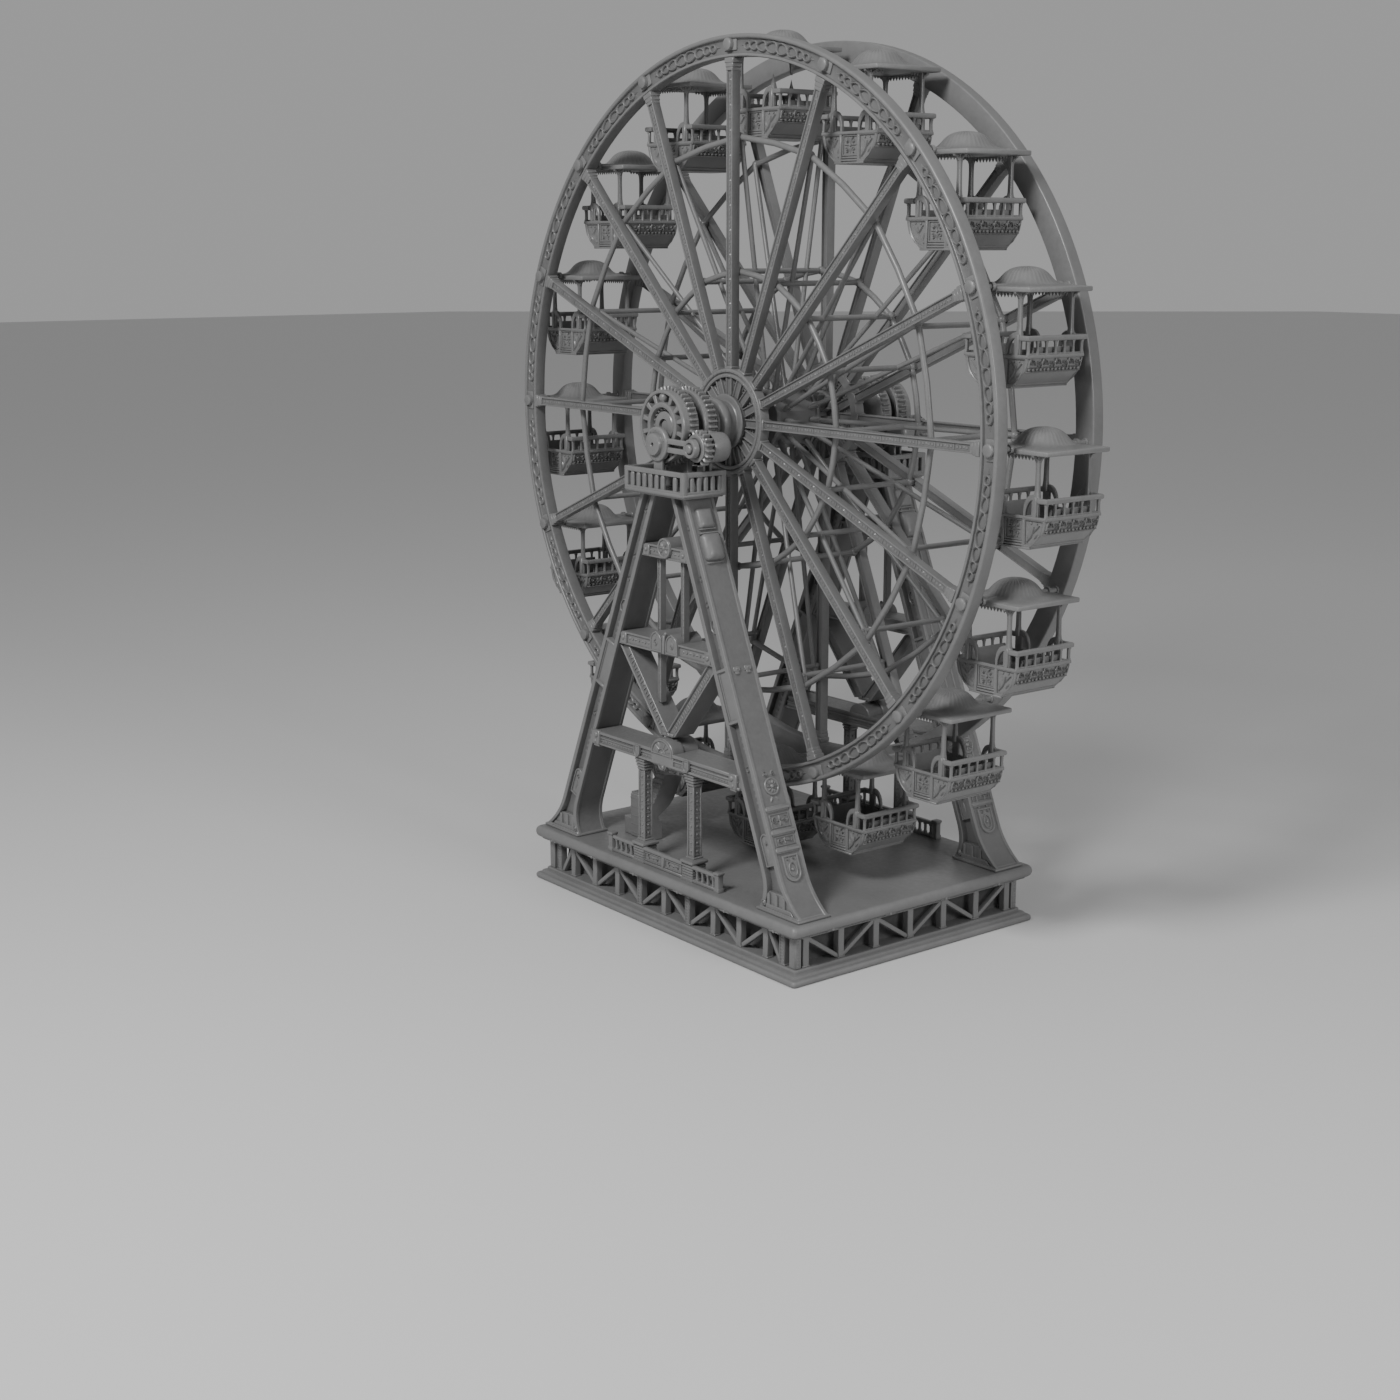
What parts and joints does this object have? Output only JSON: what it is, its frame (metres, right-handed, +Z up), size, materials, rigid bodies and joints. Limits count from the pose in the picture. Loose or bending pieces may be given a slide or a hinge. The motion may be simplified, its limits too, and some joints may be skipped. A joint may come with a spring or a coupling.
{
  "type": "ferris wheel",
  "caption": "Fairground ferris wheel: hanging cabins between spoked rims on an axle, carried by A-shaped pylons with ring gears, on a railed deck over a truss plinth.",
  "frame": {"origin": "centre of the underside of the plinth, on the ground", "axes": "+Z up, +Y along the axle from the front pylon to the rear pylon, +X to the right seen from the front; the wheel turns in the XZ plane"},
  "size_m": [20.08, 8.14, 22.23],
  "materials": {
    "structure": "semi-gloss grey paint",
    "deck": "satin grey paint",
    "masonry": "rough",
    "wheel": "semi-gloss grey paint",
    "machinery": "glossy grey paint",
    "cabin": "semi-gloss grey paint"
  },
  "bodies": {
    "tower": {"base_deck": "deck", "base_plinth": "deck", "base_core": "masonry", "front_base_truss": "structure", "rear_base_truss": "structure", "left_base_truss": "structure", "right_base_truss": "structure", "front_right_leg": "structure", "front_left_leg": "structure", "rear_right_leg": "structure", "rear_left_leg": "structure", "front_upper_beam": "structure", "front_mid_beam": "structure", "front_lower_beam": "structure", "front_v_brace": "structure", "front_portico": "structure", "front_bearing_platform": "structure", "front_axle_bearing": "machinery", "front_drive_motor": "machinery", "rear_upper_beam": "structure", "rear_mid_beam": "structure", "rear_lower_beam": "structure", "rear_v_brace": "structure", "rear_portico": "structure", "rear_bearing_platform": "structure", "rear_axle_bearing": "machinery", "rear_drive_motor": "machinery", "boarding_stair": "structure", "front_drive_bracket": "machinery", "rear_drive_bracket": "machinery"},
    "wheel": {"front_rim": "wheel", "rear_rim": "wheel", "front_spokes": "wheel", "rear_spokes": "wheel", "axle_and_drum": "wheel", "outer_bracing": "wheel", "inner_bracing": "wheel", "front_ring_gear": "machinery", "rear_ring_gear": "machinery", "front_inner_gear": "machinery", "rear_inner_gear": "machinery"},
    "front_pinion": {"front_pinion": "machinery"},
    "rear_pinion": {"rear_pinion": "machinery"},
    "cabin_01": {"cabin_01": "cabin"},
    "cabin_02": {"cabin_02": "cabin"},
    "cabin_03": {"cabin_03": "cabin"},
    "cabin_04": {"cabin_04": "cabin"},
    "cabin_05": {"cabin_05": "cabin"},
    "cabin_06": {"cabin_06": "cabin"},
    "cabin_07": {"cabin_07": "cabin"},
    "cabin_08": {"cabin_08": "cabin"},
    "cabin_09": {"cabin_09": "cabin"},
    "cabin_10": {"cabin_10": "cabin"},
    "cabin_11": {"cabin_11": "cabin"},
    "cabin_12": {"cabin_12": "cabin"},
    "cabin_13": {"cabin_13": "cabin"},
    "cabin_14": {"cabin_14": "cabin"},
    "cabin_15": {"cabin_15": "cabin"},
    "cabin_16": {"cabin_16": "cabin"}
  },
  "joints": [
    {"name": "wheel_spin", "type": "hinge", "parent": "tower", "child": "wheel", "pos_m": [0, 0, 12.8], "axis": [0, 1, 0], "continuous": true},
    {"name": "front_pinion_spin", "type": "hinge", "parent": "tower", "child": "front_pinion", "pos_m": [1.25654, 0, 12.35504], "axis": [0, 1, 0], "continuous": true},
    {"name": "rear_pinion_spin", "type": "hinge", "parent": "tower", "child": "rear_pinion", "pos_m": [1.25654, 0, 12.35504], "axis": [0, 1, 0], "continuous": true},
    {"name": "cabin_01_swing", "type": "hinge", "parent": "wheel", "child": "cabin_01", "pos_m": [0, 0, 21.8], "axis": [0, 1, 0], "continuous": true},
    {"name": "cabin_02_swing", "type": "hinge", "parent": "wheel", "child": "cabin_02", "pos_m": [3.44415, 0, 21.11492], "axis": [0, 1, 0], "continuous": true},
    {"name": "cabin_03_swing", "type": "hinge", "parent": "wheel", "child": "cabin_03", "pos_m": [6.36396, 0, 19.16396], "axis": [0, 1, 0], "continuous": true},
    {"name": "cabin_04_swing", "type": "hinge", "parent": "wheel", "child": "cabin_04", "pos_m": [8.31492, 0, 16.24415], "axis": [0, 1, 0], "continuous": true},
    {"name": "cabin_05_swing", "type": "hinge", "parent": "wheel", "child": "cabin_05", "pos_m": [9, 0, 12.8], "axis": [0, 1, 0], "continuous": true},
    {"name": "cabin_06_swing", "type": "hinge", "parent": "wheel", "child": "cabin_06", "pos_m": [8.31492, 0, 9.35585], "axis": [0, 1, 0], "continuous": true},
    {"name": "cabin_07_swing", "type": "hinge", "parent": "wheel", "child": "cabin_07", "pos_m": [6.36396, 0, 6.43604], "axis": [0, 1, 0], "continuous": true},
    {"name": "cabin_08_swing", "type": "hinge", "parent": "wheel", "child": "cabin_08", "pos_m": [3.44415, 0, 4.48508], "axis": [0, 1, 0], "continuous": true},
    {"name": "cabin_09_swing", "type": "hinge", "parent": "wheel", "child": "cabin_09", "pos_m": [0, 0, 3.8], "axis": [0, 1, 0], "continuous": true},
    {"name": "cabin_10_swing", "type": "hinge", "parent": "wheel", "child": "cabin_10", "pos_m": [-3.44415, 0, 4.48508], "axis": [0, 1, 0], "continuous": true},
    {"name": "cabin_11_swing", "type": "hinge", "parent": "wheel", "child": "cabin_11", "pos_m": [-6.36396, 0, 6.43604], "axis": [0, 1, 0], "continuous": true},
    {"name": "cabin_12_swing", "type": "hinge", "parent": "wheel", "child": "cabin_12", "pos_m": [-8.31492, 0, 9.35585], "axis": [0, 1, 0], "continuous": true},
    {"name": "cabin_13_swing", "type": "hinge", "parent": "wheel", "child": "cabin_13", "pos_m": [-9, 0, 12.8], "axis": [0, 1, 0], "continuous": true},
    {"name": "cabin_14_swing", "type": "hinge", "parent": "wheel", "child": "cabin_14", "pos_m": [-8.31492, 0, 16.24415], "axis": [0, 1, 0], "continuous": true},
    {"name": "cabin_15_swing", "type": "hinge", "parent": "wheel", "child": "cabin_15", "pos_m": [-6.36396, 0, 19.16396], "axis": [0, 1, 0], "continuous": true},
    {"name": "cabin_16_swing", "type": "hinge", "parent": "wheel", "child": "cabin_16", "pos_m": [-3.44415, 0, 21.11492], "axis": [0, 1, 0], "continuous": true}
  ],
  "couplings": [
    {"joint": "front_pinion_spin", "follows": "wheel_spin", "ratio": -2.3333},
    {"joint": "rear_pinion_spin", "follows": "wheel_spin", "ratio": -2.3333},
    {"joint": "cabin_01_swing", "follows": "wheel_spin", "ratio": -1},
    {"joint": "cabin_02_swing", "follows": "wheel_spin", "ratio": -1},
    {"joint": "cabin_03_swing", "follows": "wheel_spin", "ratio": -1},
    {"joint": "cabin_04_swing", "follows": "wheel_spin", "ratio": -1},
    {"joint": "cabin_05_swing", "follows": "wheel_spin", "ratio": -1},
    {"joint": "cabin_06_swing", "follows": "wheel_spin", "ratio": -1},
    {"joint": "cabin_07_swing", "follows": "wheel_spin", "ratio": -1},
    {"joint": "cabin_08_swing", "follows": "wheel_spin", "ratio": -1},
    {"joint": "cabin_09_swing", "follows": "wheel_spin", "ratio": -1},
    {"joint": "cabin_10_swing", "follows": "wheel_spin", "ratio": -1},
    {"joint": "cabin_11_swing", "follows": "wheel_spin", "ratio": -1},
    {"joint": "cabin_12_swing", "follows": "wheel_spin", "ratio": -1},
    {"joint": "cabin_13_swing", "follows": "wheel_spin", "ratio": -1},
    {"joint": "cabin_14_swing", "follows": "wheel_spin", "ratio": -1},
    {"joint": "cabin_15_swing", "follows": "wheel_spin", "ratio": -1},
    {"joint": "cabin_16_swing", "follows": "wheel_spin", "ratio": -1}
  ]
}
